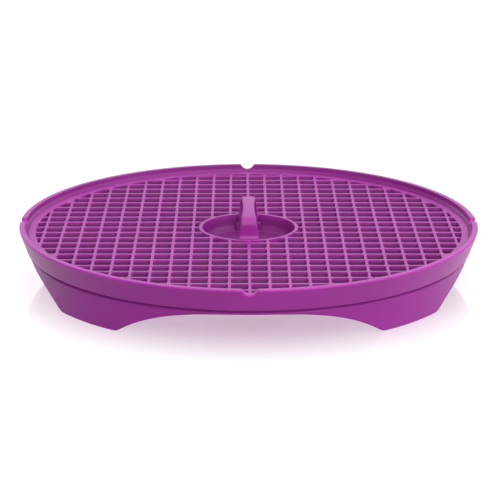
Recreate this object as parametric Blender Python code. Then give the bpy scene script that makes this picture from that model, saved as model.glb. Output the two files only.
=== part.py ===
"""Food dehydrator for a microwave oven: a round lattice tray on an arched stand ring.

The tray is a rim ring, a lattice plate, a finger well and a lift handle. It lifts off the
stand ring along +Z. The origin is at the tray's centre, on the surface the feet stand on,
and -Y is the front. Profiles are lists of (radius, height) corners of a turned section.
"""
import math

import bmesh
import bpy

MM = 0.001

# Shared sizes
GAP = 0.3 * MM                  # clearance between two pieces that touch
SEGMENTS = 96                   # sides of the large rings
WELL_SEGMENTS = 48              # sides of the finger well and its collar
DECK_Z = 26.2 * MM              # top of the lattice above the table
OVERLAP = 0.5 * MM              # how far a joined solid runs into the one it joins

# Stand ring
STAND_TOP_Z = 22.5 * MM
STAND_TOP_R = 119.1 * MM        # outer radius at the top edge
STAND_FOOT_R = 117.6 * MM       # outer radius at the feet
STAND_WALL = 2.5 * MM
ARCH_COUNT = 4
ARCH_HEIGHT = 16.0 * MM
ARCH_HALF_ANGLE = math.radians(34.6)
ARCH_POWER = 2.9                # how flat the top of an arch is
ARCH_STEPS = 12                 # steps in half an arch
FOOT_STEPS = 6

# Rim ring
RIM_TOP_Z = DECK_Z + 4.1 * MM
RIM_TOP_R = 122.8 * MM          # outer edge of the rim's flat top
RIM_ROUND = 1.0 * MM            # rounding between the top and the band
RIM_FACE = 2.2 * MM             # width of the rim's flat top
BAND_BOTTOM_Z = DECK_Z - 6.1 * MM
BAND_BOTTOM_R = 120.6 * MM
LEDGE_R = STAND_TOP_R - STAND_WALL
LEDGE_Z = 1.6 * MM              # depth of the ledge's top face under the deck
SEAT_R = 119.0 * MM             # wall round the lattice plate's flange
NOTCH_R = 4.2 * MM
NOTCH_DEPTH = 2.7 * MM
NOTCH_BAR = 12.0 * MM           # length of the bar that cuts a notch

# Lattice plate
PITCH = 10.0 * MM
RIB_WIDTH = 1.5 * MM
RIB_DEPTH = 5.0 * MM
LATTICE_R = 115.2 * MM          # where the cells end and the border begins
SMALLEST_HOLE = 7.0 * MM * MM   # area below which a cut cell is left solid
FLANGE_T = 1.3 * MM
COLLAR_R = 27.3 * MM
COLLAR_WALL = 1.1 * MM
COLLAR_DROP = 0.2 * MM          # the collar reaches this far below the ribs
BORE_SLACK = 0.05 * MM          # the bore above the collar is this much wider

# Finger well
WELL_FLANGE_R = COLLAR_R - GAP
WELL_PROUD = 0.2 * MM           # the flange stands this far above the ribs
WELL_R = 24.7 * MM              # inner radius under the lip
WELL_WALL = 1.2 * MM
WELL_DEPTH = 9.0 * MM
WELL_CORNER = 4.3 * MM          # radius between wall and floor
WELL_LIP = 0.4 * MM
PILLAR_FACE = 20.9 * MM         # distance of a pillar's face from the middle
PILLAR_HALF = 7.3 * MM
PILLAR_CORNER = 1.5 * MM

# Lift handle
HANDLE_T = 2.4 * MM
HANDLE_REACH = 24.0 * MM        # outer face of a leg from the middle
HANDLE_TOP = 11.7 * MM          # above the deck, at the bends
HANDLE_ARCH = 0.4 * MM          # extra height at mid-span
HANDLE_BEND = 4.8 * MM
FOOT_PAD_Z = 1.7 * MM           # top of the foot pad above the deck
FOOT_PAD_REACH = 24.8 * MM
FOOT_PAD_HALF = 5.35 * MM
LEG_HALF = 5.05 * MM            # half width of a leg at its foot
BEND_HALF = 4.55 * MM           # half width where a leg runs into its bend
STRAP_HALF = 3.7 * MM           # half width where a bend runs into the strap
WAIST_HALF = 3.0 * MM
WAIST_POWER = 1.3
TONGUE_HALF = 3.5 * MM
TONGUE_T = 1.6 * MM
TONGUE_REACH = 23.6 * MM        # outer face of a tongue from the middle
TONGUE_DEPTH = 4.8 * MM         # below the deck
PAD_STEP = 0.3 * MM             # the pad's inner face stands in from the leg's


def clear_scene():
    for item in list(bpy.data.objects):
        bpy.data.objects.remove(item, do_unlink=True)


def plastic(name, colour, roughness=0.38):
    material = bpy.data.materials.new(name)
    material.use_nodes = True
    shader = material.node_tree.nodes["Principled BSDF"]
    shader.inputs["Base Color"].default_value = (*colour, 1.0)
    shader.inputs["Roughness"].default_value = roughness
    shader.inputs["Metallic"].default_value = 0.0
    return material


def finish_object(name, mesh_data, material=None, parent=None):
    """Turn a bmesh into an object; one without a material is a cutter."""
    bmesh.ops.recalc_face_normals(mesh_data, faces=mesh_data.faces)
    mesh = bpy.data.meshes.new(name)
    mesh_data.to_mesh(mesh)
    mesh_data.free()
    item = bpy.data.objects.new(name, mesh)
    bpy.context.collection.objects.link(item)
    item.parent = parent
    if material is None:
        item.hide_render = True
        item.display_type = "WIRE"
    else:
        mesh.materials.append(material)
        mesh.shade_smooth()
        mesh.set_sharp_from_angle(angle=math.radians(35))
    return item


def combine(item, other, operation):
    modifier = item.modifiers.new(operation.title() + " " + other.name, "BOOLEAN")
    modifier.operation = operation
    modifier.object = other


def turned(profile, segments=SEGMENTS, closed=True):
    """Revolve (radius, height) corners about Z; an open profile starts and ends on the axis."""
    data = bmesh.new()
    corners = [data.verts.new((radius, 0.0, height)) for radius, height in profile]
    following = corners[1:] + corners[:1] if closed else corners[1:]
    edges = [data.edges.new(pair) for pair in zip(corners, following)]
    bmesh.ops.spin(data, geom=corners + edges, cent=(0, 0, 0), axis=(0, 0, 1),
                   angle=2 * math.pi, steps=segments, use_merge=True)
    bmesh.ops.remove_doubles(data, verts=data.verts, dist=1e-6)
    return data


def add_prism(data, outline, low_z, high_z):
    """Add an upright prism over a closed outline of (x, y) points."""
    low = [data.verts.new((x, y, low_z)) for x, y in outline]
    high = [data.verts.new((x, y, high_z)) for x, y in outline]
    data.faces.new(low)
    data.faces.new(high)
    for i in range(len(outline)):
        j = (i + 1) % len(outline)
        data.faces.new((low[i], low[j], high[j], high[i]))


# ---------------------------------------------------------------- stand ring

def arch_height(angle):
    """Height of the skirt's lower edge at an angle from an arch's centre."""
    return ARCH_HEIGHT * max(0.0, 1.0 - (abs(angle) / ARCH_HALF_ANGLE) ** ARCH_POWER)


def stand_stations():
    """(azimuth, lower edge height) all round: an arch, then a foot, four times."""
    quarter = 2 * math.pi / ARCH_COUNT
    foot_angle = quarter - 2 * ARCH_HALF_ANGLE
    stations = []
    for arch in range(ARCH_COUNT):
        centre = arch * quarter
        for step in range(-ARCH_STEPS, ARCH_STEPS):
            angle = ARCH_HALF_ANGLE * step / ARCH_STEPS
            stations.append((centre + angle, arch_height(angle)))
        for step in range(FOOT_STEPS):
            angle = ARCH_HALF_ANGLE + foot_angle * step / FOOT_STEPS
            stations.append((centre + angle, 0.0))
    return stations


def make_stand_ring(material, parent):
    data = bmesh.new()
    sections = []
    for azimuth, low in stand_stations():
        low_r = STAND_FOOT_R + (STAND_TOP_R - STAND_FOOT_R) * low / STAND_TOP_Z
        corners = [(STAND_TOP_R, STAND_TOP_Z), (low_r, low),
                   (low_r - STAND_WALL, low), (STAND_TOP_R - STAND_WALL, STAND_TOP_Z)]
        sections.append([data.verts.new((r * math.sin(azimuth), -r * math.cos(azimuth), z))
                         for r, z in corners])
    for here, following in zip(sections, sections[1:] + sections[:1]):
        for i in range(4):
            j = (i + 1) % 4
            data.faces.new((here[i], here[j], following[j], following[i]))
    return finish_object("stand_ring", data, material, parent)


# ------------------------------------------------------------------ rim ring

def rim_profile():
    ledge_z = DECK_Z - LEDGE_Z
    under_z = STAND_TOP_Z + GAP
    lip_r = STAND_TOP_R + GAP
    rounding = [(RIM_TOP_R + RIM_ROUND * math.sin(angle),
                 RIM_TOP_Z - RIM_ROUND * (1 - math.cos(angle)))
                for angle in (0.0, math.pi / 4, math.pi / 2)]
    return [(RIM_TOP_R - RIM_FACE, RIM_TOP_Z), *rounding,
            (BAND_BOTTOM_R, BAND_BOTTOM_Z), (lip_r, BAND_BOTTOM_Z),
            (lip_r, under_z), (LEDGE_R, under_z),
            (LEDGE_R, ledge_z), (SEAT_R, ledge_z), (SEAT_R, DECK_Z)]


def notch_cutter():
    """Four round bars lying along the radii, sunk into the rim's top."""
    data = bmesh.new()
    for quarter in range(4):
        angle = quarter * math.pi / 2
        made = bmesh.ops.create_cone(data, cap_ends=True, segments=32, radius1=NOTCH_R,
                                     radius2=NOTCH_R, depth=NOTCH_BAR)
        for vertex in made["verts"]:
            x, y, z = vertex.co
            radial = z + RIM_TOP_R
            vertex.co = (radial * math.cos(angle) - x * math.sin(angle),
                         radial * math.sin(angle) + x * math.cos(angle),
                         y + RIM_TOP_Z - NOTCH_DEPTH + NOTCH_R)
    return finish_object("notch_cutter", data)


def make_rim_ring(material, parent):
    rim = finish_object("rim_ring", turned(rim_profile()), material, parent)
    combine(rim, notch_cutter(), "DIFFERENCE")
    return rim


# ------------------------------------------------------------- lattice plate

def hole_outline(low_x, low_y):
    """The part of a square hole that lies inside the border circle."""
    size = PITCH - RIB_WIDTH
    high_x, high_y = low_x + size, low_y + size

    def holds(x, y):
        return low_x <= x <= high_x and low_y <= y <= high_y

    points = [(x, y) for x in (low_x, high_x) for y in (low_y, high_y)
              if math.hypot(x, y) < LATTICE_R]
    if not points:
        return []
    if len(points) < 4:
        for x in (low_x, high_x):
            reach = math.sqrt(max(0.0, LATTICE_R ** 2 - x ** 2))
            points += [(x, y) for y in (reach, -reach) if holds(x, y)]
        for y in (low_y, high_y):
            reach = math.sqrt(max(0.0, LATTICE_R ** 2 - y ** 2))
            points += [(x, y) for x in (reach, -reach) if holds(x, y)]
        for step in range(SEGMENTS):
            angle = 2 * math.pi * step / SEGMENTS
            x, y = LATTICE_R * math.cos(angle), LATTICE_R * math.sin(angle)
            if holds(x, y):
                points.append((x, y))
    middle_x = sum(x for x, y in points) / len(points)
    middle_y = sum(y for x, y in points) / len(points)
    return sorted(points, key=lambda p: math.atan2(p[1] - middle_y, p[0] - middle_x))


def area(outline):
    following = outline[1:] + outline[:1]
    return abs(sum(a[0] * b[1] - b[0] * a[1] for a, b in zip(outline, following))) / 2


def hole_cutter():
    data = bmesh.new()
    count = math.ceil(LATTICE_R / PITCH)
    for column in range(-count, count):
        for row in range(-count, count):
            low_x = column * PITCH + RIB_WIDTH / 2
            low_y = row * PITCH + RIB_WIDTH / 2
            outline = hole_outline(low_x, low_y)
            if len(outline) > 2 and area(outline) > SMALLEST_HOLE:
                add_prism(data, outline, DECK_Z - 2 * RIB_DEPTH, DECK_Z + RIB_DEPTH)
    return finish_object("hole_cutter", data)


def make_lattice_plate(material, parent):
    bottom_z = DECK_Z - RIB_DEPTH
    border_r = LEDGE_R - GAP
    flange_r = SEAT_R - GAP
    start_r = COLLAR_R - 4 * COLLAR_WALL
    profile = [(start_r, bottom_z), (border_r, bottom_z), (border_r, DECK_Z - FLANGE_T),
               (flange_r, DECK_Z - FLANGE_T), (flange_r, DECK_Z), (start_r, DECK_Z)]
    plate = finish_object("lattice_plate", turned(profile), material, parent)
    combine(plate, hole_cutter(), "DIFFERENCE")

    collar_z = DECK_Z - FLANGE_T - GAP
    inner_r = COLLAR_R - COLLAR_WALL
    low_z, high_z = bottom_z - COLLAR_DROP, collar_z + OVERLAP
    collar = [(inner_r - OVERLAP, low_z), (COLLAR_R, low_z),
              (COLLAR_R, high_z), (inner_r - OVERLAP, high_z)]
    combine(plate, finish_object("collar_guide", turned(collar, WELL_SEGMENTS)), "UNION")

    bore_r = COLLAR_R + BORE_SLACK
    bore = [(0.0, 0.0), (inner_r, 0.0), (inner_r, collar_z),
            (bore_r, collar_z), (bore_r, RIM_TOP_Z), (0.0, RIM_TOP_Z)]
    bore_cutter = finish_object("well_bore", turned(bore, WELL_SEGMENTS, closed=False))
    combine(plate, bore_cutter, "DIFFERENCE")
    return plate


# --------------------------------------------------------------- finger well

def well_corner(radius, steps=5):
    """Quarter circle from the wall round to the floor."""
    centre_r = WELL_R - WELL_LIP / 2 - WELL_CORNER
    centre_z = DECK_Z - WELL_DEPTH + WELL_CORNER
    return [(centre_r + radius * math.cos(angle), centre_z - radius * math.sin(angle))
            for angle in (math.pi / 2 * i / steps for i in range(steps + 1))]


def pillar_outline(side):
    """Plan of a handle pillar, standing off the front or back of the well."""
    back = COLLAR_R
    outline = [(-PILLAR_HALF, back)]
    for sign in (-1, 1):
        for i in range(4):
            angle = math.pi / 2 * (i if sign < 0 else 3 - i) / 3
            outline.append((sign * (PILLAR_HALF - PILLAR_CORNER + PILLAR_CORNER * math.cos(angle)),
                            PILLAR_FACE + PILLAR_CORNER - PILLAR_CORNER * math.sin(angle)))
    outline.append((PILLAR_HALF, back))
    return [(x, side * y) for x, y in outline]


def box_outline(half_x, low_y, high_y, side):
    return [(x, side * y) for x, y in ((-half_x, low_y), (half_x, low_y),
                                       (half_x, high_y), (-half_x, high_y))]


def make_finger_well(material, parent):
    under_z = DECK_Z - FLANGE_T
    top_z = DECK_Z + WELL_PROUD
    outer = [(0.0, top_z), (WELL_FLANGE_R, top_z), (WELL_FLANGE_R, under_z),
             (WELL_R + WELL_WALL, under_z)]
    outer += well_corner(WELL_CORNER + WELL_WALL)
    outer.append((0.0, outer[-1][1]))
    body = turned(outer, WELL_SEGMENTS, closed=False)
    well = finish_object("finger_well", body, material, parent)

    hollow = [(0.0, RIM_TOP_Z), (WELL_R + WELL_LIP, RIM_TOP_Z), (WELL_R + WELL_LIP, top_z),
              (WELL_R, top_z - WELL_LIP)]
    hollow += well_corner(WELL_CORNER)
    hollow.append((0.0, hollow[-1][1]))
    cavity = finish_object("well_cavity", turned(hollow, WELL_SEGMENTS, closed=False))
    pillars = bmesh.new()
    slots = bmesh.new()
    for side in (-1, 1):
        add_prism(pillars, pillar_outline(side), 0.0, DECK_Z)
        outline = box_outline(TONGUE_HALF + GAP, TONGUE_REACH - TONGUE_T - GAP,
                              TONGUE_REACH + GAP, side)
        add_prism(slots, outline, DECK_Z - TONGUE_DEPTH - GAP, RIM_TOP_Z)
    combine(cavity, finish_object("pillar_guide", pillars), "DIFFERENCE")
    combine(well, cavity, "DIFFERENCE")
    combine(well, finish_object("slot_cutter", slots), "DIFFERENCE")
    return well


# --------------------------------------------------------------- lift handle

def front_sections():
    """Cross-sections of the front half, each (half width, inner (y, z), outer (y, z)).

    They run from the tongue's tip up the leg, round the bend and along to mid-span.
    """
    def level(half, inner, outer, height):
        return half, (-inner, DECK_Z + height), (-outer, DECK_Z + height)

    inner_reach = HANDLE_REACH - HANDLE_T
    tongue_inner = TONGUE_REACH - TONGUE_T
    pad_inner = inner_reach - PAD_STEP
    sections = [level(TONGUE_HALF, tongue_inner, TONGUE_REACH, -TONGUE_DEPTH),
                level(TONGUE_HALF, tongue_inner, TONGUE_REACH, GAP),
                level(FOOT_PAD_HALF, pad_inner, FOOT_PAD_REACH, GAP),
                level(FOOT_PAD_HALF, pad_inner, FOOT_PAD_REACH, FOOT_PAD_Z),
                level(LEG_HALF, inner_reach, HANDLE_REACH, FOOT_PAD_Z)]

    bend_start = HANDLE_TOP - HANDLE_BEND
    bend_y = HANDLE_REACH - HANDLE_BEND
    for i in range(1, 4):
        share = i / 4
        height = FOOT_PAD_Z + (bend_start - FOOT_PAD_Z) * share
        half = LEG_HALF + (BEND_HALF - LEG_HALF) * share
        sections.append(level(half, inner_reach, HANDLE_REACH, height))
    for i in range(7):
        share = i / 6
        angle = math.pi / 2 * share
        half = BEND_HALF + (STRAP_HALF - BEND_HALF) * share
        inner_r = HANDLE_BEND - HANDLE_T
        around = [(-bend_y - r * math.cos(angle), DECK_Z + bend_start + r * math.sin(angle))
                  for r in (inner_r, HANDLE_BEND)]
        sections.append((half, *around))
    for i in range(1, 9):
        share = 1 - i / 8
        half = WAIST_HALF + (STRAP_HALF - WAIST_HALF) * share ** WAIST_POWER
        top = HANDLE_TOP + HANDLE_ARCH * (1 - share ** 2)
        y = -bend_y * share
        sections.append((half, (y, DECK_Z + top - HANDLE_T), (y, DECK_Z + top)))
    return sections


def make_lift_handle(material, parent):
    front = front_sections()
    rear = [(half, (-inner[0], inner[1]), (-outer[0], outer[1]))
            for half, inner, outer in reversed(front[:-1])]
    data = bmesh.new()
    rings = []
    for half, inner, outer in front + rear:
        corners = [(-half, *inner), (half, *inner), (half, *outer), (-half, *outer)]
        rings.append([data.verts.new(corner) for corner in corners])
    for here, following in zip(rings, rings[1:]):
        for i in range(4):
            j = (i + 1) % 4
            data.faces.new((here[i], here[j], following[j], following[i]))
    data.faces.new(rings[0])
    data.faces.new(rings[-1])
    return finish_object("lift_handle", data, material, parent)


def main():
    clear_scene()
    tray = bpy.data.objects.new("tray_frame", None)
    bpy.context.collection.objects.link(tray)

    make_stand_ring(plastic("stand_plastic", (0.23, 0.035, 0.20)), None)
    make_rim_ring(plastic("rim_plastic", (0.30, 0.045, 0.26)), tray)
    make_lattice_plate(plastic("lattice_plastic", (0.36, 0.065, 0.32)), tray)
    make_finger_well(plastic("well_plastic", (0.25, 0.035, 0.22)), tray)
    make_lift_handle(plastic("handle_plastic", (0.34, 0.055, 0.30)), tray)


main()
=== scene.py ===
"""Looks of the food dehydrator: a round lattice tray standing on an arched ring.

Each CAD node is replaced by a finer piece inside the same overall box, with rounded edges and
its own moulded plastic. Two shapes differ on purpose: the band's edge hangs lower and the skirt
steps in behind it. Lengths are metres, +Z is up and -Y is the front.
"""
import math

import bmesh
import bpy
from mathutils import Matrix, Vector


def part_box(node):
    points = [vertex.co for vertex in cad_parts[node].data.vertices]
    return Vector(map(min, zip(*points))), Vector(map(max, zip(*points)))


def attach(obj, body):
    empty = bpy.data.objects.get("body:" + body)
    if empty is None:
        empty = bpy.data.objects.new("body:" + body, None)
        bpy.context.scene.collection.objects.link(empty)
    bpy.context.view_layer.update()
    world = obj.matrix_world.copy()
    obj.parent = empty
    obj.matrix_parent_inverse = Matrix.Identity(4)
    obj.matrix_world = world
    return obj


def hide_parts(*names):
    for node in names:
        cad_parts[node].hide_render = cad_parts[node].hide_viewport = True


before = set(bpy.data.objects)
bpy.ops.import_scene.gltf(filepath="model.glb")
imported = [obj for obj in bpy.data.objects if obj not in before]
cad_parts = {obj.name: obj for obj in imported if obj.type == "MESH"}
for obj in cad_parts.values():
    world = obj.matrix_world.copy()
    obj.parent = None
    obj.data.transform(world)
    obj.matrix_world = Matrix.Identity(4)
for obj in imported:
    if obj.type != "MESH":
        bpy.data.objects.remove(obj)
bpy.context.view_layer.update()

MM = 0.001

# Heights and radii that the frame gives
DECK_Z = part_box("lattice_plate")[1][2]
FLANGE_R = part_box("lattice_plate")[1][0]
STAND_TOP_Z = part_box("stand_ring")[1][2]
STAND_TOP_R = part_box("stand_ring")[1][0]
BAND_BOTTOM_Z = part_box("rim_ring")[0][2]
RIM_TOP_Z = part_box("rim_ring")[1][2]
WELL_TOP_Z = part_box("finger_well")[1][2]
WELL_BOTTOM_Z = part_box("finger_well")[0][2]
WELL_FLANGE_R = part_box("finger_well")[1][0]
HANDLE_TOP_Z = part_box("lift_handle")[1][2]

# Shared sizes
GAP = 0.3 * MM                  # clearance between two pieces, where it isn't seen
SEAM = 0.04 * MM                # visible clearance between two pieces of the tray
HIDDEN_ROUND = 0.2 * MM         # corners inside the assembly

# Stand ring
STAND_FOOT_R = 117.6 * MM
STAND_WALL = 2.5 * MM
STAND_ROUND = 0.7 * MM
STAND_TOP_ROUND = 0.3 * MM
ARCH_HEIGHT = 16.0 * MM
ARCH_HALF_ANGLE = math.radians(34.6)
ARCH_POWER = 2.9                # how flat the top of an arch is
FOOT_SOFTNESS = 0.4 * MM        # how far an arch's end is rounded into its foot
BAND_HEM = 1.4 * MM             # the band's thin edge hangs this far below the rim's body
HEM_Z = BAND_BOTTOM_Z - BAND_HEM
REBATE = 1.4 * MM               # the skirt steps in this far under the band
REBATE_Z = HEM_Z - 2.2 * MM     # where it starts to step in
REBATE_SLOPE = 1.1 * MM         # height of the step's slope
REBATE_ROUND = 0.7 * MM
STAND_SEGMENTS = 384

# Rim ring
RIM_EDGE_R = 123.8 * MM         # widest point, where the band meets the rounding
RIM_EDGE_DROP = 1.0 * MM        # how far that is under the top
RIM_INNER_R = 120.6 * MM
RIM_ROUND = 0.8 * MM
RIM_INNER_ROUND = 0.45 * MM
BAND_BOTTOM_R = 120.6 * MM
HEM_ROUND = 0.25 * MM
CHAMFER = (1.3 * MM, 1.7 * MM)  # width and height of the slope between the deck and the rim
CHAMFER_ROUND = 0.4 * MM
CHAMFER_SHARE = 0.6             # most of the wall's height that the slope may take in a notch
LEDGE_DROP = 1.6 * MM           # depth under the deck of the ledge that carries the lattice
SEAT_DROP = 0.1 * MM            # the rim's wall starts this far under the deck
NOTCH_R = 4.2 * MM
NOTCH_DEPTH = 2.7 * MM
NOTCH_SOFTNESS = 1.0 * MM
NOTCH_SPAN = math.radians(2.8)  # sections lie close together this far to each side of a notch
NOTCH_STEPS = 20
PLAIN_STEPS = 60

# Lattice
PITCH = 10.0 * MM
RIB_WIDTH = 1.5 * MM
RIB_DEPTH = 5.0 * MM
LATTICE_R = 115.2 * MM          # where the cells end and the border begins
SMALLEST_HOLE = 7.0 * MM * MM   # area below which a cut cell is left solid
HOLE_CORNER = 1.2 * MM
TOP_ROUND = 0.34 * MM
TOP_STEPS = 3
BOTTOM_ROUND = 0.15 * MM
DRAFT = 0.03 * MM               # each side of a hole leans in this far at its bottom
FLANGE_T = 1.3 * MM
FLANGE_ROUND = 0.1 * MM
BORDER_ROUND = 0.3 * MM
COLLAR_WALL = 1.1 * MM
COLLAR_DROP = 0.2 * MM          # the collar reaches this far below the ribs
COLLAR_OVERLAP = (1.0 * MM, 0.4 * MM)   # how far its guide runs inwards and into the plate
PLATE_SEGMENTS = 288
BORE_SEGMENTS = 96

# Finger well
WELL_R = 24.7 * MM
WELL_WALL = 1.2 * MM
WELL_CORNER = 4.3 * MM          # radius between wall and floor
WELL_DRAFT = 0.2 * MM           # the wall is this much narrower at the floor
WELL_LIP = 0.45 * MM            # and this much wider at the mouth
WELL_LIP_ROUND = 0.35 * MM
WELL_RIM_ROUND = 0.3 * MM
WELL_SEGMENTS = 144
PILLAR_FACE = 20.9 * MM         # distance of a pillar's face from the middle
PILLAR_HALF = 7.3 * MM
PILLAR_CORNER = 1.5 * MM
PILLAR_LEAST_CORNER = 0.3 * MM
PILLAR_TOP_HALF = 5.4 * MM      # above its shoulders, under the handle's foot
PILLAR_SHOULDER = 3.4 * MM      # depth of the shoulders under the deck
PILLAR_FLARE = 0.8 * MM         # radius between a pillar and the floor
PILLAR_CROWN = 0.25 * MM        # bevel round a pillar's top
PILLAR_BURIED = 0.6 * MM        # a pillar's back runs this far into the well's wall
PILLAR_ROOT = 0.4 * MM          # and its foot this far into the floor

# Lift handle
HANDLE_T = 2.4 * MM
HANDLE_REACH = 24.0 * MM        # outer face of a leg from the middle
HANDLE_ARCH = 0.4 * MM          # extra height at mid-span
HANDLE_BEND = 4.8 * MM
FOOT_PAD_REACH = 24.8 * MM
FOOT_PAD_HALF = 5.35 * MM
FOOT_PAD_ROUND = 0.6 * MM
FOOT_SEAM = 0.08 * MM           # the foot stands this far above the deck
FOOT_STEP = 0.3 * MM            # the foot's inner face stands this far in from the leg's
LEG_START = 2.2 * MM            # height above the deck where the plain leg starts
LEG_HALF = 5.05 * MM
BEND_HALF = 4.55 * MM           # half width where a leg runs into its bend
STRAP_HALF = 3.7 * MM           # half width where a bend runs into the strap
WAIST_HALF = 3.0 * MM
WAIST_POWER = 1.3
TONGUE_HALF = 3.5 * MM
TONGUE_T = 1.6 * MM
TONGUE_REACH = 23.6 * MM        # outer face of a tongue from the middle
TONGUE_DEPTH = 4.8 * MM         # below the deck
TONGUE_ROUND = 0.3 * MM         # edges of a tongue and the bevel at its tip
EDGE_ROUND = 1.05 * MM          # long outer edges of the handle
INNER_ROUND = 0.5 * MM
LEG_STEPS = 8
BEND_STEPS = 12
SPAN_STEPS = 24

# The foot's outer face from the deck up: inset and height in mm, and how far the foot has
# become the leg, from 0 to 1
FOOT_FLARE = ((0.15, 0.0, 0.0), (0.0, 0.12, 0.0), (0.06, 0.35, 0.05), (0.62, 1.50, 0.7),
              (0.78, 1.85, 1.0))

# Finish; colours are linear
PLUM = (0.330, 0.019, 0.296)
LIT_BAND_PLUM = (0.395, 0.027, 0.352)       # the rim ring, matched a little paler than the rest: painted light, the plastic is one colour
PLASTIC_IOR = 1.49
NOISE_RANGE = (0.3, 0.7)        # where most of a noise's values lie
COLOUR_FLOW = (0.93, 1.07)
ROUGHNESS_SPREAD = 0.035
GRAIN_HEIGHT = 0.006 * MM

# Floor: polished and tinted pink near the tray, the tint painted colour thrown by the tray, plain
# white further out, and lit from within
NEAR_FLOOR_R = 88 * MM
PLAIN_FLOOR_R = 152 * MM
FLOOR_POLISH = 0.42
FLOOR_GLOW = 0.87


# ------------------------------------------------------------------ mesh help

def rounded(corners, steps=4):
    """Closed outline from (x, y, radius) corners, each turned into an arc of that radius. An arc
    takes less than half of each side that it touches."""
    nearly_straight = math.radians(88)
    most_of_side = 0.48
    points = []
    for i, (x, y, radius) in enumerate(corners):
        here = Vector((x, y))
        back = Vector(corners[i - 1][:2]) - here
        ahead = Vector(corners[(i + 1) % len(corners)][:2]) - here
        half = back.angle(ahead) / 2
        if radius <= 0 or half > nearly_straight:
            points.append(here)
            continue
        reach = min(radius / math.tan(half), most_of_side * min(back.length, ahead.length))
        inwards = (back.normalized() + ahead.normalized()).normalized()
        middle = here + inwards * reach / math.cos(half)
        start = here + back.normalized() * reach - middle
        end = here + ahead.normalized() * reach - middle
        sweep = start.angle(end)
        side = (end - start * math.cos(sweep)).normalized() * start.length
        for step in range(steps + 1):
            turn = sweep * step / steps
            arm = start * math.cos(turn) + side * math.sin(turn)
            points.append(middle + arm)
    return points


def join_rings(data, rings):
    """Skin a list of rings of vertices with as many vertices each."""
    for here, following in zip(rings, rings[1:]):
        for i in range(len(here)):
            j = (i + 1) % len(here)
            data.faces.new((here[i], here[j], following[j], following[i]))


def loft(data, rings, around=True):
    """Skin a list of rings of points. The last joins the first if it goes around, and else
    both ends are capped."""
    rings = [[data.verts.new(point) for point in ring] for ring in rings]
    if around:
        join_rings(data, rings + rings[:1])
    else:
        join_rings(data, rings)
        data.faces.new(list(reversed(rings[0])))
        data.faces.new(rings[-1])


def upright(outline, azimuth):
    """An outline of (radius, height) points, stood up at an azimuth from the front."""
    return [(r * math.sin(azimuth), -r * math.cos(azimuth), z) for r, z in outline]


def turned(data, outline, segments):
    """Revolve a closed outline of (radius, height) points about Z."""
    loft(data, [upright(outline, 2 * math.pi * i / segments) for i in range(segments)])


def turned_solid(data, outline, segments):
    """Revolve an outline that starts and ends on the axis."""
    corners = [data.verts.new((r, 0.0, z)) for r, z in outline]
    edges = [data.edges.new(pair) for pair in zip(corners, corners[1:])]
    bmesh.ops.spin(data, geom=corners + edges, cent=(0, 0, 0), axis=(0, 0, 1),
                   angle=2 * math.pi, steps=segments, use_merge=True)
    bmesh.ops.remove_doubles(data, verts=data.verts, dist=1e-6)


def make_object(name, data, material=None):
    """Turn a bmesh into an object; one without a material is a guide or gets it later."""
    bmesh.ops.recalc_face_normals(data, faces=data.faces)
    mesh = bpy.data.meshes.new(name)
    data.to_mesh(mesh)
    data.free()
    item = bpy.data.objects.new(name, mesh)
    bpy.context.collection.objects.link(item)
    if material:
        mesh.materials.append(material)
    return item


def cut(item, tool, operation):
    """Apply one Boolean to an object's mesh and remove the tool."""
    modifier = item.modifiers.new(operation, "BOOLEAN")
    modifier.operation = operation
    modifier.object = tool
    modifier.solver = "EXACT"
    evaluated = item.evaluated_get(bpy.context.evaluated_depsgraph_get())
    mesh = bpy.data.meshes.new_from_object(evaluated)
    item.modifiers.remove(modifier)
    item.data = mesh
    bpy.data.objects.remove(tool, do_unlink=True)


def smooth(item, sharp_angle=40):
    """Shade smooth, with the flat faces kept flat and the corners over the angle kept sharp."""
    item.data.shade_smooth()
    item.data.set_sharp_from_angle(angle=math.radians(sharp_angle))
    weighted = item.modifiers.new("even_shading", "WEIGHTED_NORMAL")
    weighted.keep_sharp = True


def place(item, body, node):
    """Put a piece on its body, in place of its CAD node, which is hidden."""
    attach(item, body)
    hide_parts(node)


# ------------------------------------------------------------------ materials

def recessed(tree, where, tint, recess):
    """Paint shade into a recess, given as (radial, upward, low, high, share). With m = radial *
    radius + upward * height, the colour is whole where m is over high, and only that share of it
    is left where m is under low. The plastic is one colour: this stands in for the deep shade
    that the soft studio light doesn't give, and it stays when the light changes."""
    radial, upward, low, high, share = recess
    nodes, links = tree.nodes, tree.links
    plan = nodes.new("ShaderNodeVectorMath")
    plan.operation = "MULTIPLY"
    plan.inputs[1].default_value = (radial, radial, 0)
    links.new(where, plan.inputs[0])
    radius = nodes.new("ShaderNodeVectorMath")
    radius.operation = "LENGTH"
    links.new(plan.outputs["Vector"], radius.inputs[0])
    split = nodes.new("ShaderNodeSeparateXYZ")
    links.new(where, split.inputs["Vector"])
    measure = nodes.new("ShaderNodeMath")
    measure.operation = "MULTIPLY_ADD"
    measure.inputs[1].default_value = upward
    links.new(split.outputs["Z"], measure.inputs[0])
    links.new(radius.outputs["Value"], measure.inputs[2])
    depth = nodes.new("ShaderNodeMapRange")
    depth.interpolation_type = "SMOOTHSTEP"
    depth.inputs["From Min"].default_value = low
    depth.inputs["From Max"].default_value = high
    depth.inputs["To Min"].default_value = share
    links.new(measure.outputs["Value"], depth.inputs["Value"])
    deepen = nodes.new("ShaderNodeVectorMath")
    deepen.operation = "SCALE"
    links.new(tint, deepen.inputs["Vector"])
    links.new(depth.outputs["Result"], deepen.inputs["Scale"])
    return deepen.outputs["Vector"]


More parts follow.
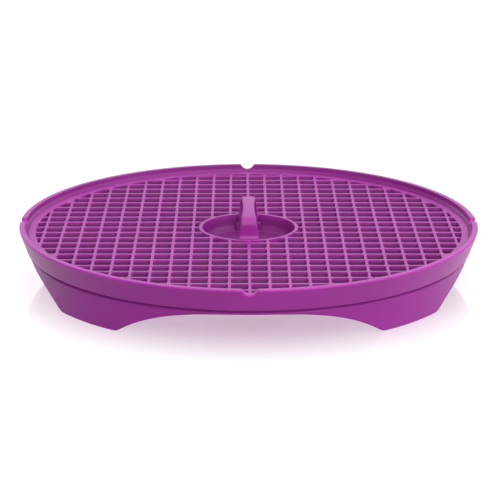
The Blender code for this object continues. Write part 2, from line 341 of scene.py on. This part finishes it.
def moulded_plastic(name, colour, roughness, specular=0.5, grain=1.0, wave_height=0.10 * MM,
                    recess=None):
    """Satin polypropylene: fine moulded grain, a slow surface wave and faint colour flow, with
    painted shade where a recess is given.
    """
    material = bpy.data.materials.new(name)
    material.use_nodes = True
    tree = material.node_tree
    nodes, links = tree.nodes, tree.links
    shader = nodes["Principled BSDF"]
    shader.inputs["IOR"].default_value = PLASTIC_IOR
    shader.inputs["Specular IOR Level"].default_value = specular
    where = nodes.new("ShaderNodeTexCoord").outputs["Object"]

    def noise(scale, detail, rough=0.5):
        node = nodes.new("ShaderNodeTexNoise")
        node.inputs["Scale"].default_value = scale
        node.inputs["Detail"].default_value = detail
        node.inputs["Roughness"].default_value = rough
        links.new(where, node.inputs["Vector"])
        return node.outputs["Fac"]

    def spread(source, low, high):
        node = nodes.new("ShaderNodeMapRange")
        node.inputs["From Min"].default_value = NOISE_RANGE[0]
        node.inputs["From Max"].default_value = NOISE_RANGE[1]
        node.inputs["To Min"].default_value = low
        node.inputs["To Max"].default_value = high
        links.new(source, node.inputs["Value"])
        return node.outputs["Result"]

    def bump(source, strength, height, over=None):
        node = nodes.new("ShaderNodeBump")
        node.inputs["Strength"].default_value = strength
        node.inputs["Distance"].default_value = height
        links.new(source, node.inputs["Height"])
        if over:
            links.new(over, node.inputs["Normal"])
        return node.outputs["Normal"]

    flow = nodes.new("ShaderNodeMix")
    flow.data_type = "RGBA"
    flow.inputs["A"].default_value = (*(COLOUR_FLOW[0] * c for c in colour), 1.0)
    flow.inputs["B"].default_value = (*(COLOUR_FLOW[1] * c for c in colour), 1.0)
    links.new(spread(noise(scale=28, detail=3), 0.0, 1.0), flow.inputs["Factor"])
    tint = flow.outputs["Result"]
    if recess:
        tint = recessed(tree, where, tint, recess)
    links.new(tint, shader.inputs["Base Color"])
    links.new(spread(noise(scale=160, detail=4), roughness - ROUGHNESS_SPREAD,
                     roughness + ROUGHNESS_SPREAD), shader.inputs["Roughness"])
    wave = bump(noise(scale=70, detail=2), 0.5, wave_height)
    texture = bump(noise(scale=1900, detail=2, rough=0.6), 0.6, GRAIN_HEIGHT * grain, wave)
    links.new(texture, shader.inputs["Normal"])
    return material


# ----------------------------------------------------------------- stand ring

def skirt_edge(azimuth):
    """Height of the skirt's lower edge: four arches with feet between them."""
    quarter = math.pi / 2
    from_centre = abs((azimuth + quarter / 2) % quarter - quarter / 2)
    height = ARCH_HEIGHT * (1 - (from_centre / ARCH_HALF_ANGLE) ** ARCH_POWER)
    return FOOT_SOFTNESS * math.log1p(math.exp(height / FOOT_SOFTNESS))


def skirt_r(height):
    """Outer radius of the tapered skirt at a height."""
    return STAND_FOOT_R + (STAND_TOP_R - STAND_FOOT_R) * height / STAND_TOP_Z


def make_stand():
    """The tapered skirt, stepped in under the band and cut by four arches."""
    data = bmesh.new()
    rings = []
    for i in range(STAND_SEGMENTS):
        azimuth = 2 * math.pi * i / STAND_SEGMENTS
        low = skirt_edge(azimuth)
        low_r = skirt_r(low)
        outline = rounded([(STAND_TOP_R - REBATE, STAND_TOP_Z, STAND_TOP_ROUND),
                           (STAND_TOP_R - REBATE, REBATE_Z + REBATE_SLOPE, REBATE_ROUND),
                           (skirt_r(REBATE_Z), REBATE_Z, REBATE_ROUND),
                           (low_r, low, STAND_ROUND),
                           (low_r - STAND_WALL, low, STAND_ROUND),
                           (STAND_TOP_R - STAND_WALL, STAND_TOP_Z, STAND_TOP_ROUND)])
        rings.append(upright(outline, azimuth))
    loft(data, rings)
    plastic = moulded_plastic("stand_plum", PLUM, 0.36, specular=0.3)
    stand = make_object("arched_stand", data, plastic)
    smooth(stand)
    place(stand, "stand", "stand_ring")


# ------------------------------------------------------------------- rim ring

def soft_min(a, b, width):
    """The lower of two heights, blended where they are within a width of each other."""
    share = min(1.0, max(0.0, 0.5 + 0.5 * (b - a) / width))
    return b + (a - b) * share - width * share * (1 - share)


def rim_height(azimuth):
    """Height of the rim's top: level, with a soft notch at each quarter."""
    quarter = math.pi / 2
    across = RIM_EDGE_R * math.sin((azimuth + quarter / 2) % quarter - quarter / 2)
    bar_z = RIM_TOP_Z - NOTCH_DEPTH + NOTCH_R
    notch_z = bar_z - math.sqrt(max(0.0, NOTCH_R ** 2 - across ** 2))
    return soft_min(RIM_TOP_Z, notch_z, NOTCH_SOFTNESS)


def rim_azimuths():
    """Directions round the rim, close together at the notches."""
    quarter = math.pi / 2
    fine = [NOTCH_SPAN * step / NOTCH_STEPS for step in range(-NOTCH_STEPS, NOTCH_STEPS)]
    wide = [NOTCH_SPAN + (quarter - 2 * NOTCH_SPAN) * step / PLAIN_STEPS
            for step in range(PLAIN_STEPS)]
    return [turn * quarter + angle for turn in range(4) for angle in fine + wide]


def make_rim():
    """The leaning band with its notched top, inner wall, ledge and the lip over the stand."""
    ledge_r = STAND_TOP_R - STAND_WALL
    ledge_z = DECK_Z - LEDGE_DROP
    under_z = STAND_TOP_Z + GAP
    lip_r = STAND_TOP_R + GAP
    seat_r = FLANGE_R + GAP
    slope = (RIM_EDGE_R - BAND_BOTTOM_R) / (RIM_TOP_Z - RIM_EDGE_DROP - BAND_BOTTOM_Z)
    wall_slope = (RIM_INNER_R - seat_r - CHAMFER[0]) / (RIM_TOP_Z - DECK_Z - CHAMFER[1])
    data = bmesh.new()
    rings = []
    for azimuth in rim_azimuths():
        top = rim_height(azimuth)
        rise = min(CHAMFER[1], CHAMFER_SHARE * (top - DECK_Z))
        foot_r = seat_r + CHAMFER[0] * rise / CHAMFER[1]
        inner_r = foot_r + wall_slope * (top - DECK_Z - rise)
        outline = rounded([(inner_r, top, RIM_INNER_ROUND),
                           (BAND_BOTTOM_R + slope * (top - BAND_BOTTOM_Z), top, RIM_ROUND),
                           (BAND_BOTTOM_R - slope * BAND_HEM, HEM_Z, HEM_ROUND),
                           (lip_r, HEM_Z, HIDDEN_ROUND),
                           (lip_r, under_z, HIDDEN_ROUND),
                           (ledge_r, under_z, HIDDEN_ROUND),
                           (ledge_r, ledge_z, HIDDEN_ROUND),
                           (seat_r, ledge_z, HIDDEN_ROUND),
                           (seat_r, DECK_Z - SEAT_DROP, 0.0),
                           (foot_r, DECK_Z + rise, CHAMFER_ROUND)], steps=5)
        rings.append(upright(outline, azimuth))
    loft(data, rings)
    # Painted shade darkens the rim's inner wall. Measured down the band's slope, the inner wall
    # comes out smaller than the band's face
    inner_edge = RIM_INNER_R - slope * RIM_TOP_Z
    recess = (1, -slope, inner_edge + 0.45 * MM, inner_edge + 0.95 * MM, 0.62)
    plastic = moulded_plastic("rim_plum", LIT_BAND_PLUM, 0.36, specular=0.3, recess=recess)
    rim = make_object("notched_rim", data, plastic)
    smooth(rim)
    place(rim, "tray", "rim_ring")


# -------------------------------------------------------------- lattice plate

def hole_corners(low_x, low_y):
    """Corners of a square hole, clipped to the border circle and sorted round its middle."""
    size = PITCH - RIB_WIDTH
    high_x, high_y = low_x + size, low_y + size
    points = [(x, y) for x in (low_x, high_x) for y in (low_y, high_y)
              if math.hypot(x, y) < LATTICE_R]
    if not points:
        return []
    if len(points) < 4:
        for x in (low_x, high_x):
            reach = math.sqrt(max(0.0, LATTICE_R ** 2 - x ** 2))
            points += [(x, y) for y in (reach, -reach) if low_y < y < high_y]
        for y in (low_y, high_y):
            reach = math.sqrt(max(0.0, LATTICE_R ** 2 - y ** 2))
            points += [(x, y) for x in (reach, -reach) if low_x < x < high_x]
    middle = sum((Vector(p) for p in points), Vector((0, 0))) / len(points)
    return sorted(points, key=lambda p: math.atan2(p[1] - middle.y, p[0] - middle.x))


def area(outline):
    """Area inside an outline."""
    following = outline[1:] + outline[:1]
    return abs(sum(a[0] * b[1] - b[0] * a[1] for a, b in zip(outline, following))) / 2


def lattice_holes():
    """Outlines of all the holes between the border and the finger well."""
    holes = []
    count = math.ceil(LATTICE_R / PITCH)
    for column in range(-count, count):
        for row in range(-count, count):
            corners = hole_corners(column * PITCH + RIB_WIDTH / 2, row * PITCH + RIB_WIDTH / 2)
            far = max((math.hypot(x, y) for x, y in corners), default=0.0)
            if len(corners) > 2 and area(corners) > SMALLEST_HOLE and far > WELL_FLANGE_R:
                holes.append(rounded([(x, y, HOLE_CORNER) for x, y in corners]))
    return holes


def widened(outline, amount):
    """A convex anticlockwise outline moved outwards by an amount. The limit keeps a sharp corner
    from running far out."""
    sharp_limit = 0.5
    moved = []
    for i, point in enumerate(outline):
        back = (point - outline[i - 1]).normalized()
        ahead = (outline[(i + 1) % len(outline)] - point).normalized()
        normal = Vector((back.y + ahead.y, -back.x - ahead.x)).normalized()
        lean = normal.dot(Vector((ahead.y, -ahead.x)))
        moved.append(point + normal * amount / max(sharp_limit, lean))
    return moved


def level_ring(data, outline, z):
    """Vertices of an outline at one height."""
    return [data.verts.new((x, y, z)) for x, y in outline]


def ring_edges(data, ring):
    """The edges that join a ring's vertices."""
    return [data.edges.get((ring[i - 1], ring[i])) for i in range(len(ring))]


def circle(radius, segments):
    """Points of a circle round the middle."""
    return [(radius * math.cos(2 * math.pi * i / segments),
             radius * math.sin(2 * math.pi * i / segments)) for i in range(segments)]


def hole_steps():
    """(widening, height) down a hole's wall: rounded top edge, drafted wall, bottom edge."""
    bottom = DECK_Z - RIB_DEPTH
    steps = []
    for i in range(TOP_STEPS + 1):
        angle = math.pi / 2 * i / TOP_STEPS
        steps.append((TOP_ROUND * (1 - math.sin(angle)),
                      DECK_Z - TOP_ROUND * (1 - math.cos(angle))))
    steps.append((-DRAFT, bottom + BOTTOM_ROUND))
    steps.append((BOTTOM_ROUND - DRAFT, bottom))
    return steps


def make_grille():
    """The pierced plate, before its collar and its bore."""
    data = bmesh.new()
    top_edges, bottom_edges = [], []
    for outline in lattice_holes():
        rings = [level_ring(data, widened(outline, grow), z) for grow, z in hole_steps()]
        join_rings(data, rings)
        top_edges += ring_edges(data, rings[0])
        bottom_edges += ring_edges(data, rings[-1])

    outer_r = FLANGE_R + GAP - SEAM
    border_r = STAND_TOP_R - STAND_WALL - GAP
    under = DECK_Z - FLANGE_T
    bottom = DECK_Z - RIB_DEPTH
    bevel = 0.3 * FLANGE_ROUND
    side = [(outer_r - FLANGE_ROUND, DECK_Z), (outer_r - bevel, DECK_Z - bevel),
            (outer_r, DECK_Z - FLANGE_ROUND), (outer_r, under), (border_r, under),
            (border_r, bottom + BORDER_ROUND), (border_r - BORDER_ROUND, bottom)]
    rings = [level_ring(data, circle(radius, PLATE_SEGMENTS), z) for radius, z in side]
    join_rings(data, rings)
    top_edges += ring_edges(data, rings[0])
    bottom_edges += ring_edges(data, rings[-1])
    bmesh.ops.triangle_fill(data, edges=top_edges, use_beauty=True, normal=(0, 0, 1))
    bmesh.ops.triangle_fill(data, edges=bottom_edges, use_beauty=True, normal=(0, 0, -1))
    # Painted shade: the colour falls to half from 0.5 to 2 mm under the deck, in the cells and
    # below
    recess = (0, 1, DECK_Z - 2.0 * MM, DECK_Z - 0.5 * MM, 0.50)
    plastic = moulded_plastic("lattice_plum", PLUM, 0.50, specular=0.72, recess=recess)
    return make_object("lattice_deck", data, plastic)


def make_lattice():
    """The plate with a collar under it and a bore that takes the finger well."""
    lattice = make_grille()
    collar_out = WELL_FLANGE_R + GAP
    collar_in = collar_out - COLLAR_WALL
    seat_z = DECK_Z - FLANGE_T - GAP
    inwards, upwards = COLLAR_OVERLAP
    low = DECK_Z - RIB_DEPTH - COLLAR_DROP
    data = bmesh.new()
    turned(data, [(collar_in - inwards, low), (collar_out, low),
                  (collar_out, seat_z + upwards), (collar_in - inwards, seat_z + upwards)],
           BORE_SEGMENTS)
    cut(lattice, make_object("collar_guide", data), "UNION")
    data = bmesh.new()
    bore_r = WELL_FLANGE_R + SEAM
    turned_solid(data, [(0, 0), (collar_in, 0), (collar_in, seat_z), (bore_r, seat_z),
                        (bore_r, RIM_TOP_Z), (0, RIM_TOP_Z)], BORE_SEGMENTS)
    cut(lattice, make_object("bore_guide", data), "DIFFERENCE")
    smooth(lattice, 50)
    place(lattice, "tray", "lattice_plate")


# ---------------------------------------------------------------- finger well

def pillar_plan(side, half, grow):
    """Plan of a pillar, widened by an amount; its back is buried in the well's wall."""
    back = WELL_R + PILLAR_BURIED
    half, face = half + grow, PILLAR_FACE - grow
    corner = max(PILLAR_LEAST_CORNER, PILLAR_CORNER + grow)
    return [Vector((x, side * y)) for x, y in
            rounded([(-half, back, 0), (-half, face, corner), (half, face, corner),
                     (half, back, 0)], steps=6)]


def make_pillar(side, floor_z):
    """A pillar with a flared foot where it meets the floor, round shoulders and a bevelled top."""
    flare_steps, shoulder_steps = 4, 6
    shoulder_z = DECK_Z - PILLAR_SHOULDER
    levels = [(PILLAR_HALF, PILLAR_FLARE, floor_z - PILLAR_ROOT),
              (PILLAR_HALF, PILLAR_FLARE, floor_z)]
    for i in range(1, flare_steps + 1):
        angle = math.pi / 2 * i / flare_steps
        levels.append((PILLAR_HALF, PILLAR_FLARE * (1 - math.sin(angle)),
                       floor_z + PILLAR_FLARE * (1 - math.cos(angle))))
    step = PILLAR_HALF - PILLAR_TOP_HALF
    for i in range(shoulder_steps + 1):
        angle = math.pi / 2 * i / shoulder_steps
        levels.append((PILLAR_TOP_HALF + step * math.cos(angle), 0.0,
                       shoulder_z - step * (1 - math.sin(angle))))
    levels.append((PILLAR_TOP_HALF, 0.0, DECK_Z - PILLAR_CROWN))
    levels.append((PILLAR_TOP_HALF, -PILLAR_CROWN, DECK_Z))
    rings = [[(x, y, z) for x, y in pillar_plan(side, half, grow)] for half, grow, z in levels]
    data = bmesh.new()
    loft(data, rings, around=False)
    return make_object("pillar_guide", data)


def slot_guide(side):
    """A box where a tongue of the handle fits into a pillar, with a gap all round."""
    ends = sorted((side * (TONGUE_REACH - TONGUE_T - GAP), side * (TONGUE_REACH + GAP)))
    low = (-TONGUE_HALF - GAP, ends[0], DECK_Z - TONGUE_DEPTH - GAP)
    high = (TONGUE_HALF + GAP, ends[1], RIM_TOP_Z)
    data = bmesh.new()
    bmesh.ops.create_cube(data, size=1.0)
    for vertex in data.verts:
        vertex.co = [a + (b - a) * (c + 0.5) for a, b, c in zip(low, high, vertex.co)]
    return make_object("slot_guide", data)


def make_well():
    """The finger cup with its flange, and two slotted pillars that hold the handle."""
    under = DECK_Z - FLANGE_T
    floor_z = WELL_BOTTOM_Z + WELL_WALL
    outer_r = WELL_R + WELL_WALL
    cup = rounded([(0, floor_z, 0),
                   (WELL_R - WELL_DRAFT, floor_z, WELL_CORNER),
                   (WELL_R + WELL_LIP, WELL_TOP_Z, WELL_LIP_ROUND),
                   (WELL_FLANGE_R, WELL_TOP_Z, WELL_RIM_ROUND),
                   (WELL_FLANGE_R, under, FLANGE_ROUND),
                   (outer_r, under, HIDDEN_ROUND),
                   (outer_r - WELL_DRAFT, WELL_BOTTOM_Z, WELL_CORNER + WELL_WALL),
                   (0, WELL_BOTTOM_Z, 0)], steps=8)
    data = bmesh.new()
    turned_solid(data, cup, WELL_SEGMENTS)
    # Painted shade: the colour falls to 0.66 from 0.4 to 3.5 mm under the well's mouth
    recess = (0, 1, WELL_TOP_Z - 3.5 * MM, WELL_TOP_Z - 0.4 * MM, 0.66)
    plastic = moulded_plastic("well_plum", PLUM, 0.42, grain=0.6, recess=recess)
    well = make_object("finger_cup", data, plastic)
    for side in (-1, 1):
        cut(well, make_pillar(side, floor_z), "UNION")
        cut(well, slot_guide(side), "DIFFERENCE")
    smooth(well, 50)
    place(well, "tray", "finger_well")


# ---------------------------------------------------------------- lift handle

def handle_sections():
    """Sections from the front tongue's tip to mid-span, as (half width, inner (y, z),
    outer (y, z), outer edge radius, inner edge radius)."""
    top = HANDLE_TOP_Z - HANDLE_ARCH - DECK_Z
    inner_reach = HANDLE_REACH - HANDLE_T
    pad_inner = inner_reach - FOOT_STEP

    def level(half, inner, outer, height, outer_round, inner_round):
        return (half, (-inner, DECK_Z + height), (-outer, DECK_Z + height),
                outer_round, inner_round)

    tongue_in = TONGUE_REACH - TONGUE_T
    sections = [
        level(TONGUE_HALF - TONGUE_ROUND, tongue_in + TONGUE_ROUND, TONGUE_REACH - TONGUE_ROUND,
              -TONGUE_DEPTH, TONGUE_ROUND, TONGUE_ROUND),
        level(TONGUE_HALF, tongue_in, TONGUE_REACH, -TONGUE_DEPTH + TONGUE_ROUND,
              TONGUE_ROUND, TONGUE_ROUND),
        level(TONGUE_HALF, tongue_in, TONGUE_REACH, FOOT_SEAM, TONGUE_ROUND, TONGUE_ROUND)]
    for inset, height, share in FOOT_FLARE:
        half = FOOT_PAD_HALF + (LEG_HALF - FOOT_PAD_HALF) * share
        inner = pad_inner + (inner_reach - pad_inner) * share
        edge_round = FOOT_PAD_ROUND + (EDGE_ROUND - FOOT_PAD_ROUND) * share
        sections.append(level(half, inner, FOOT_PAD_REACH - inset * MM, FOOT_SEAM + height * MM,
                              edge_round, INNER_ROUND))

    bend_start = top - HANDLE_BEND
    bend_y = HANDLE_REACH - HANDLE_BEND
    for i in range(LEG_STEPS):
        share = i / LEG_STEPS
        height = LEG_START + (bend_start - LEG_START) * share
        half = LEG_HALF + (BEND_HALF - LEG_HALF) * share
        sections.append(level(half, inner_reach, HANDLE_REACH, height, EDGE_ROUND, INNER_ROUND))
    for i in range(BEND_STEPS + 1):
        share = i / BEND_STEPS
        angle = math.pi / 2 * share
        half = BEND_HALF + (STRAP_HALF - BEND_HALF) * share
        around = [(-bend_y - r * math.cos(angle), DECK_Z + bend_start + r * math.sin(angle))
                  for r in (HANDLE_BEND - HANDLE_T, HANDLE_BEND)]
        sections.append((half, *around, EDGE_ROUND, INNER_ROUND))
    for i in range(1, SPAN_STEPS + 1):
        share = 1 - i / SPAN_STEPS
        half = WAIST_HALF + (STRAP_HALF - WAIST_HALF) * share ** WAIST_POWER
        height = DECK_Z + top + HANDLE_ARCH * (1 - share ** 2)
        y = -bend_y * share
        sections.append((half, (y, height - HANDLE_T), (y, height), EDGE_ROUND, INNER_ROUND))
    return sections


def section_ring(half, inner, outer, outer_round, inner_round):
    """A section of the handle: a rectangle across X with its four corners rounded."""
    inner, outer = Vector((0, *inner)), Vector((0, *outer))
    thick = (outer - inner).length
    up = (outer - inner) / thick
    plan = rounded([(-half, 0, inner_round), (half, 0, inner_round),
                    (half, thick, outer_round), (-half, thick, outer_round)], steps=5)
    return [Vector((x, 0, 0)) + inner + up * y for x, y in plan]


def make_handle():
    """The bridge handle from tongue to tongue; its rear half mirrors the front."""
    front = handle_sections()
    rear = [(half, (-inner[0], inner[1]), (-outer[0], outer[1]), *rounds)
            for half, inner, outer, *rounds in reversed(front[:-1])]
    data = bmesh.new()
    loft(data, [section_ring(*section) for section in front + rear], around=False)
    plastic = moulded_plastic("handle_plum", PLUM, 0.43, grain=0.3, wave_height=0.02 * MM)
    handle = make_object("bridge_handle", data, plastic)
    smooth(handle, 50)
    place(handle, "tray", "lift_handle")


# --------------------------------------------------------- floor, light, view

def make_floor():
    """A plain pale floor that mirrors the tray softly close to it. Its glow keeps it white and
    its tint stands in for colour thrown by the tray. Diffuse and shadow rays pass it, so that
    light from the lower half of the world reaches the skirt."""
    data = bmesh.new()
    bmesh.ops.create_grid(data, x_segments=1, y_segments=1, size=6.0)
    material = bpy.data.materials.new("pale_floor")
    material.use_nodes = True
    nodes, links = material.node_tree.nodes, material.node_tree.links

    reach = nodes.new("ShaderNodeVectorMath")
    reach.operation = "LENGTH"
    links.new(nodes.new("ShaderNodeTexCoord").outputs["Object"], reach.inputs[0])
    near = nodes.new("ShaderNodeMapRange")
    near.interpolation_type = "SMOOTHSTEP"
    near.inputs["From Min"].default_value = NEAR_FLOOR_R
    near.inputs["From Max"].default_value = PLAIN_FLOOR_R
    near.inputs["To Min"].default_value = 1.0
    near.inputs["To Max"].default_value = 0.0
    links.new(reach.outputs["Value"], near.inputs["Value"])

    glow = nodes.new("ShaderNodeMix")
    glow.data_type = "RGBA"
    glow.inputs["A"].default_value = (1.0, 1.0, 1.0, 1.0)
    glow.inputs["B"].default_value = (1.0, 0.78, 0.95, 1.0)
    links.new(near.outputs["Result"], glow.inputs["Factor"])
    paint = nodes["Principled BSDF"]
    paint.inputs["Base Color"].default_value = (0.15, 0.15, 0.15, 1.0)
    paint.inputs["Roughness"].default_value = 0.5
    paint.inputs["Emission Strength"].default_value = FLOOR_GLOW
    links.new(glow.outputs["Result"], paint.inputs["Emission Color"])

    gloss = nodes.new("ShaderNodeBsdfGlossy")
    # The mirror's faint pink tint is painted too, for the tray's colour in it
    gloss.inputs["Color"].default_value = (1.0, 0.90, 0.98, 1.0)
    gloss.inputs["Roughness"].default_value = 0.05
    polish = nodes.new("ShaderNodeMath")
    polish.operation = "MULTIPLY"
    polish.inputs[1].default_value = FLOOR_POLISH
    links.new(near.outputs["Result"], polish.inputs[0])
    mix = nodes.new("ShaderNodeMixShader")
    links.new(polish.outputs["Value"], mix.inputs["Fac"])
    links.new(paint.outputs["BSDF"], mix.inputs[1])
    links.new(gloss.outputs["BSDF"], mix.inputs[2])
    links.new(mix.outputs["Shader"], nodes["Material Output"].inputs["Surface"])

    floor = make_object("floor", data, material)
    floor.visible_diffuse = False
    floor.visible_shadow = False


def make_backdrop():
    """A tall white wall behind the tray, which the deck and the floor mirror at a low angle."""
    data = bmesh.new()
    corners = [(-4.0, 3.0, -0.5), (4.0, 3.0, -0.5), (4.0, 3.0, 2.6), (-4.0, 3.0, 2.6)]
    data.faces.new([data.verts.new(corner) for corner in corners])
    material = bpy.data.materials.new("backdrop_white")
    material.use_nodes = True
    shader = material.node_tree.nodes["Principled BSDF"]
    shader.inputs["Base Color"].default_value = (0.9, 0.9, 0.9, 1.0)
    shader.inputs["Emission Color"].default_value = (1.0, 1.0, 1.0, 1.0)
    shader.inputs["Emission Strength"].default_value = 0.58
    wall = make_object("backdrop", data, material)


def area_light(name, where, target, size, power):
    """A soft rectangular light that faces a target."""
    light = bpy.data.lights.new(name, "AREA")
    light.shape = "RECTANGLE"
    light.size, light.size_y = size
    light.energy = power
    item = bpy.data.objects.new(name, light)
    item.location = where
    item.rotation_euler = (Vector(target) - Vector(where)).to_track_quat("-Z", "Y").to_euler()
    bpy.context.collection.objects.link(item)


def make_world():
    """White surroundings, brightest above, behind and to the right, and dimmest below."""
    world = bpy.data.worlds.new("studio_white")
    world.use_nodes = True
    nodes, links = world.node_tree.nodes, world.node_tree.links
    lean = nodes.new("ShaderNodeVectorMath")
    lean.operation = "DOT_PRODUCT"
    lean.inputs[1].default_value = (0.55, 0.35, 0.76)
    links.new(nodes.new("ShaderNodeTexCoord").outputs["Generated"], lean.inputs[0])
    rise = nodes.new("ShaderNodeMapRange")
    rise.inputs["From Min"].default_value = -0.6
    rise.inputs["From Max"].default_value = 1.0
    rise.inputs["To Min"].default_value = 0.18
    rise.inputs["To Max"].default_value = 0.95
    links.new(lean.outputs["Value"], rise.inputs["Value"])
    background = nodes["Background"]
    background.inputs["Color"].default_value = (1.0, 1.0, 1.0, 1.0)
    links.new(rise.outputs["Result"], background.inputs["Strength"])
    bpy.context.scene.world = world


def make_lights():
    """Large soft lights above and in front, and a weak one on each side."""
    tray = (0, 0, 0.03)
    area_light("overhead", (0.3, 0.25, 1.7), (0.1, 0.1, 0), (2.8, 2.8), 16.5)
    area_light("front", (0.2, -1.5, 1.0), tray, (2.4, 1.4), 19.0)
    area_light("right_side", (1.4, -0.5, 0.5), tray, (0.5, 0.9), 3.5)
    area_light("left_side", (-1.4, -0.6, 0.4), tray, (0.5, 0.7), 2.0)


def make_camera():
    """A long lens a little above the tray, looking from the front."""
    camera = bpy.data.cameras.new("camera")
    camera.sensor_width = 36.0
    camera.lens = 135.64
    camera.shift_x = 0.0254
    camera.shift_y = 0.001
    item = bpy.data.objects.new("camera", camera)
    item.location = (-0.0061, -0.9842, 0.3116)
    item.rotation_euler = (math.radians(73.11), 0.0, 0.0)
    bpy.context.collection.objects.link(item)
    bpy.context.scene.camera = item
    bpy.context.scene.view_settings.view_transform = "Standard"


make_camera()
make_stand()
make_rim()
make_lattice()
make_well()
make_handle()
make_floor()
make_backdrop()
make_world()
make_lights()
